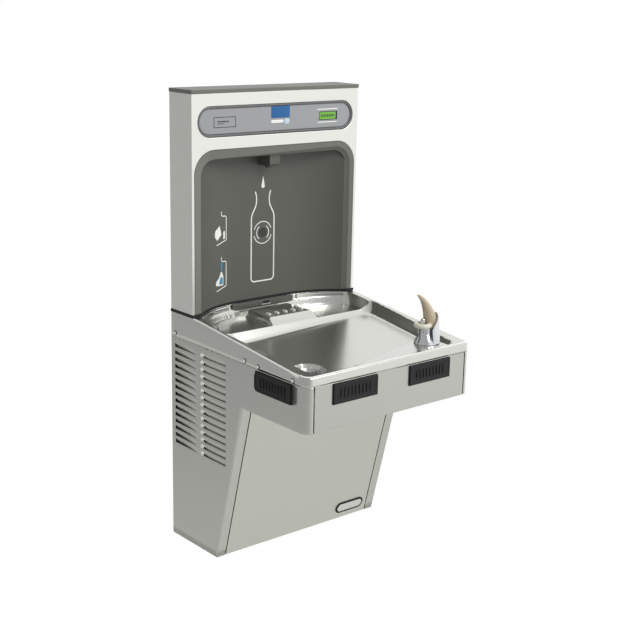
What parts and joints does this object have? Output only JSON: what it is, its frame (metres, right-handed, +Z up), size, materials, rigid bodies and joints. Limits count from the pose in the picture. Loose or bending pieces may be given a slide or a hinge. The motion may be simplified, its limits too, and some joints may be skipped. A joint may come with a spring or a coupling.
{
  "type": "bottle filling station",
  "caption": "Wall-mounted bottle filling station: a filling alcove over a chilled drinking fountain with a basin, a bubbler and push pads.",
  "frame": {"origin": "bottom centre of the wall plane: the foot of the cabinet where it meets the wall", "axes": "+X to the right of a person facing the unit, the front faces -Y and the wall lies at y = 0, +Z up"},
  "size_m": [0.466, 0.473, 1.002],
  "materials": {
    "casing_steel": "fine brushed, light",
    "cabinet_steel": "fine brushed",
    "galvanised": "zinc coated sheet",
    "cap_grey": "satin, moulded",
    "alcove_grey": "satin, moulded",
    "gasket_black": "matte",
    "fascia_trim_grey": "satin",
    "fascia_grey": "satin film",
    "display_green": "glossy",
    "board_green": "soldered board",
    "badge_blue": "printed film",
    "sensor_black": "polished",
    "valve_white": "moulded",
    "coil_red": "moulded",
    "plunger_steel": "ground",
    "spring_steel": "drawn wire",
    "chrome": "polished",
    "brass": "turned",
    "guard_beige": "moulded",
    "waste_grey": "moulded",
    "pad_black": "grained",
    "button_red": "moulded",
    "switch_grey": "moulded",
    "compressor_black": "semi-gloss paint",
    "copper": "drawn tube",
    "shroud_black": "powder coat",
    "motor_grey": "paint",
    "fan_black": "moulded",
    "tank_steel": "rolled sheet",
    "filter_blue": "moulded",
    "box_grey": "powder coat",
    "tube_white": "extruded tube"
  },
  "bodies": {
    "cabinet": {"filler_casing": "casing_steel", "top_cap": "cap_grey", "alcove_liner": "alcove_grey", "filler_gasket": "gasket_black", "filler_back_plate": "galvanised", "nozzle_housing": "alcove_grey", "aerator": "chrome", "fascia_trim": "fascia_trim_grey", "fascia_panel": "fascia_grey", "display_window": "display_green", "display_board": "board_green", "fascia_badge": "badge_blue", "sensor_lens": "sensor_black", "sensor_module": "board_green", "filler_valve_body": "valve_white", "filler_valve_coil": "coil_red", "filler_plunger_spring": "spring_steel", "left_side_panel": "cabinet_steel", "right_side_panel": "cabinet_steel", "front_apron": "cabinet_steel", "front_panel": "cabinet_steel", "cabinet_back": "galvanised", "base_pan": "galvanised", "hanger_bracket": "galvanised", "badge_plate": "chrome", "basin": "cabinet_steel", "bottle_platform": "casing_steel", "drain_strainer": "chrome", "drain_tailpiece": "chrome", "waste_arm": "waste_grey", "cabinet_screws": "chrome", "bubbler_base": "chrome", "bubbler_guard": "guard_beige", "bubbler_nozzle": "chrome", "bubbler_locknut": "brass", "front_left_spring": "spring_steel", "front_right_spring": "spring_steel", "left_spring": "spring_steel", "right_spring": "spring_steel", "pad_brackets": "galvanised", "pad_switches": "switch_grey", "compressor": "compressor_black", "condenser_coil": "copper", "fan_shroud": "shroud_black", "fan_motor": "motor_grey", "cooling_tank": "tank_steel", "water_filter": "filter_blue", "control_box": "box_grey", "refrigerant_lines": "copper", "water_lines": "tube_white"},
    "front_left_pad_body": {"front_left_pad": "pad_black"},
    "front_left_button_body": {"front_left_button": "button_red"},
    "front_right_pad_body": {"front_right_pad": "pad_black"},
    "front_right_button_body": {"front_right_button": "button_red"},
    "left_pad_body": {"left_pad": "pad_black"},
    "left_button_body": {"left_button": "button_red"},
    "right_pad_body": {"right_pad": "pad_black"},
    "right_button_body": {"right_button": "button_red"},
    "plunger_body": {"filler_plunger": "plunger_steel"},
    "fan_body": {"fan_blade": "fan_black"}
  },
  "joints": [
    {"name": "front_left_pad_push", "type": "slide", "parent": "cabinet", "child": "front_left_pad_body", "axis": [0, 1, 0], "range_m": [0, 0.003], "stiffness_N_per_m": 600, "springref_m": -0.002, "deforming": ["front_left_spring"]},
    {"name": "front_right_pad_push", "type": "slide", "parent": "cabinet", "child": "front_right_pad_body", "axis": [0, 1, 0], "range_m": [0, 0.003], "stiffness_N_per_m": 600, "springref_m": -0.002, "deforming": ["front_right_spring"]},
    {"name": "left_pad_push", "type": "slide", "parent": "cabinet", "child": "left_pad_body", "axis": [1, 0, 0], "range_m": [0, 0.003], "stiffness_N_per_m": 600, "springref_m": -0.002, "deforming": ["left_spring"]},
    {"name": "right_pad_push", "type": "slide", "parent": "cabinet", "child": "right_pad_body", "axis": [-1, 0, 0], "range_m": [0, 0.003], "stiffness_N_per_m": 600, "springref_m": -0.002, "deforming": ["right_spring"]},
    {"name": "front_left_button_push", "type": "slide", "parent": "cabinet", "child": "front_left_button_body", "axis": [0, 1, 0], "range_m": [0, 0.003]},
    {"name": "front_right_button_push", "type": "slide", "parent": "cabinet", "child": "front_right_button_body", "axis": [0, 1, 0], "range_m": [0, 0.003]},
    {"name": "left_button_push", "type": "slide", "parent": "cabinet", "child": "left_button_body", "axis": [1, 0, 0], "range_m": [0, 0.003]},
    {"name": "right_button_push", "type": "slide", "parent": "cabinet", "child": "right_button_body", "axis": [-1, 0, 0], "range_m": [0, 0.003]},
    {"name": "plunger_lift", "type": "slide", "parent": "cabinet", "child": "plunger_body", "axis": [0, 0, 1], "range_m": [0, 0.002], "stiffness_N_per_m": 200, "springref_m": -0.002, "deforming": ["filler_plunger_spring"]},
    {"name": "fan_spin", "type": "hinge", "parent": "cabinet", "child": "fan_body", "pos_m": [-0.166, -0.105, 0.302], "axis": [1, 0, 0], "continuous": true}
  ],
  "couplings": [
    {"joint": "front_left_button_push", "follows": "front_left_pad_push", "ratio": 1},
    {"joint": "front_right_button_push", "follows": "front_right_pad_push", "ratio": 1},
    {"joint": "left_button_push", "follows": "left_pad_push", "ratio": 1},
    {"joint": "right_button_push", "follows": "right_pad_push", "ratio": 1}
  ]
}
